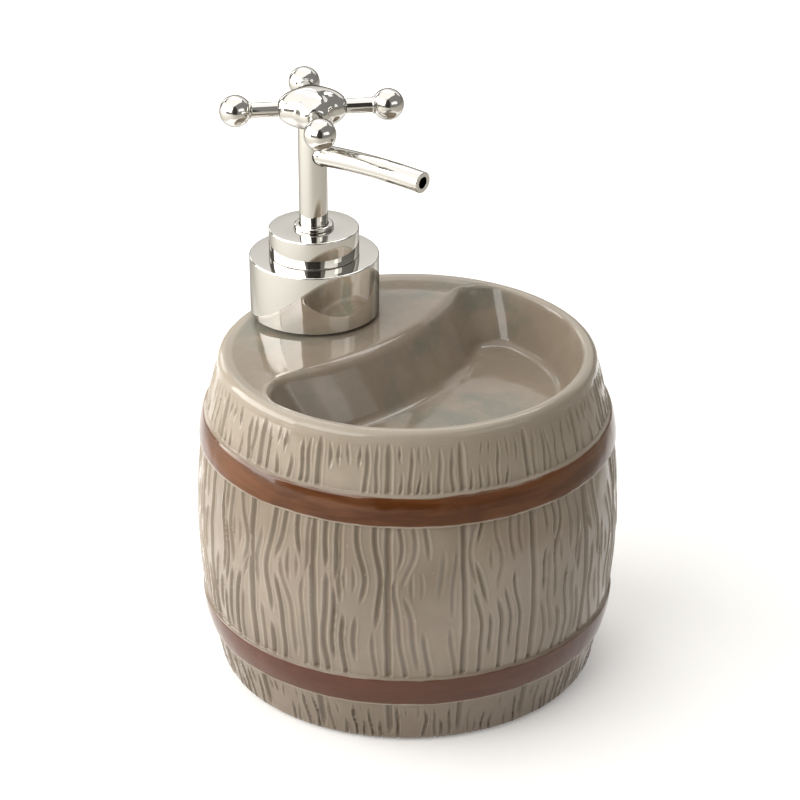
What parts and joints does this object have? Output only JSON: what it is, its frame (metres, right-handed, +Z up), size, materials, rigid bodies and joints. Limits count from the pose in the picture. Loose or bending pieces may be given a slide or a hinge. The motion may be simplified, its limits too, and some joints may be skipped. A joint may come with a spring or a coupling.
{
  "type": "soap pump dispenser",
  "caption": "Barrel-shaped glazed ceramic soap dispenser with a sponge well in its top and a lift pump whose head is a tap-style cross handle with a short spout.",
  "frame": {"origin": "centre of the barrel's base, on the surface that it stands on", "axes": "+Z up along the barrel's axis; the sponge well is on +X, the pump on -X, and the spout points to +X at rest"},
  "size_m": [0.1202, 0.1202, 0.1643],
  "materials": {
    "glazed_ceramic": "glossy warm grey-brown glaze with darker brown bands",
    "chrome": "polished chrome plate",
    "white_plastic": "moulded polypropylene",
    "natural_plastic": "natural translucent polyethylene",
    "gasket_rubber": "soft foam sheet",
    "spring_steel": "drawn stainless wire",
    "polished_steel": "polished stainless ball"
  },
  "bodies": {
    "vessel": {"barrel_body": "glazed_ceramic", "neck_insert": "white_plastic"},
    "cartridge": {"pump_housing": "natural_plastic", "housing_gasket": "gasket_rubber", "dip_tube": "natural_plastic", "ball_retainer": "white_plastic", "return_spring": "spring_steel", "chaplet": "white_plastic", "upper_collar": "chrome", "guide_ring": "chrome"},
    "closure": {"closure_shell": "chrome", "closure_thread_ring": "white_plastic"},
    "inlet_ball": {"check_ball": "polished_steel"},
    "plunger": {"piston_rod": "white_plastic", "piston": "natural_plastic", "piston_foot": "white_plastic"},
    "head": {"stem_tube": "chrome", "spout": "chrome", "handle_hub": "chrome", "handle_arm_front_left": "chrome", "handle_arm_rear_left": "chrome", "handle_arm_rear_right": "chrome", "handle_arm_front_right": "chrome"}
  },
  "joints": [
    {"name": "pump_lift", "type": "slide", "parent": "vessel", "child": "cartridge", "axis": [0, 0, 1], "range_m": [0, 0.105]},
    {"name": "closure_turn", "type": "hinge", "parent": "cartridge", "child": "closure", "pos_m": [-0.03435, 0, 0.1062], "axis": [0, 0, 1], "continuous": true},
    {"name": "ball_lift", "type": "slide", "parent": "cartridge", "child": "inlet_ball", "axis": [0, 0, 1], "range_m": [0, 0.0008]},
    {"name": "pump_press", "type": "slide", "parent": "cartridge", "child": "plunger", "axis": [0, 0, -1], "range_m": [0, 0.014], "stiffness_N_per_m": 450, "springref_m": -0.008, "deforming": ["return_spring"]},
    {"name": "head_swivel", "type": "hinge", "parent": "plunger", "child": "head", "pos_m": [-0.03435, 0, 0.144], "axis": [0, 0, 1], "continuous": true}
  ]
}
